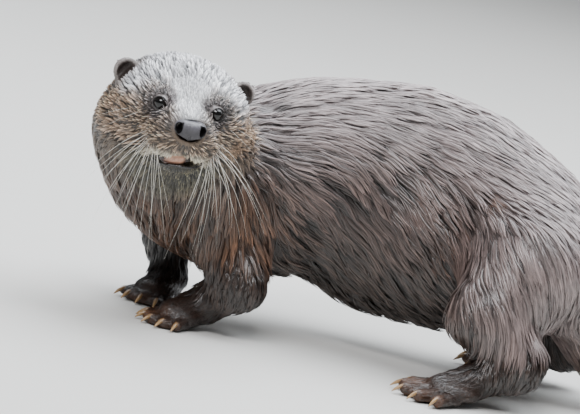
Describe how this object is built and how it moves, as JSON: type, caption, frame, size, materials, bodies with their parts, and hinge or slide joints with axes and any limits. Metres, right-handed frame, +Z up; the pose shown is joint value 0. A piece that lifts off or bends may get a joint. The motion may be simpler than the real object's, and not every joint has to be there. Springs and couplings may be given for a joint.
{
  "type": "eurasian otter",
  "caption": "Life-size still model of a Eurasian otter standing hunched on all fours, its body curved and its head turned back over one forefoot.",
  "frame": {"origin": "on the floor under the middle of the whole animal's bounding box", "axes": "+X from the head end towards the tail, +Y towards the animal's right side, +Z up"},
  "size_m": [0.7814, 0.2724, 0.2224],
  "materials": {
    "coat": "wet brown fur, silvery where it shines",
    "feet": "short sleek fur over webbed toes",
    "nose_pad": "bare moist skin",
    "eyes": "glossy near-black",
    "claws": "smooth horn, yellowish"
  },
  "bodies": {
    "root": {"belly": "coat", "chest": "coat", "claw_fore_left_1": "claws", "claw_fore_left_2": "claws", "claw_fore_left_3": "claws", "claw_fore_left_4": "claws", "claw_fore_left_5": "claws", "claw_fore_right_1": "claws", "claw_fore_right_2": "claws", "claw_fore_right_3": "claws", "claw_fore_right_4": "claws", "claw_fore_right_5": "claws", "claw_hind_left_1": "claws", "claw_hind_left_2": "claws", "claw_hind_left_3": "claws", "claw_hind_left_4": "claws", "claw_hind_left_5": "claws", "claw_hind_right_1": "claws", "claw_hind_right_2": "claws", "claw_hind_right_3": "claws", "claw_hind_right_4": "claws", "claw_hind_right_5": "claws", "ear_left": "coat", "ear_right": "coat", "eye_left": "eyes", "eye_right": "eyes", "forearm_left": "coat", "forearm_right": "coat", "forefoot_left": "feet", "forefoot_right": "feet", "head": "coat", "hindfoot_left": "feet", "hindfoot_right": "feet", "jaw": "coat", "neck": "coat", "nose": "nose_pad", "rump": "coat", "shank_left": "coat", "shank_right": "coat", "tail_base": "coat", "tail_middle": "coat", "tail_tip": "coat", "thigh_left": "coat", "thigh_right": "coat", "upper_arm_left": "coat", "upper_arm_right": "coat"}
  },
  "joints": []
}
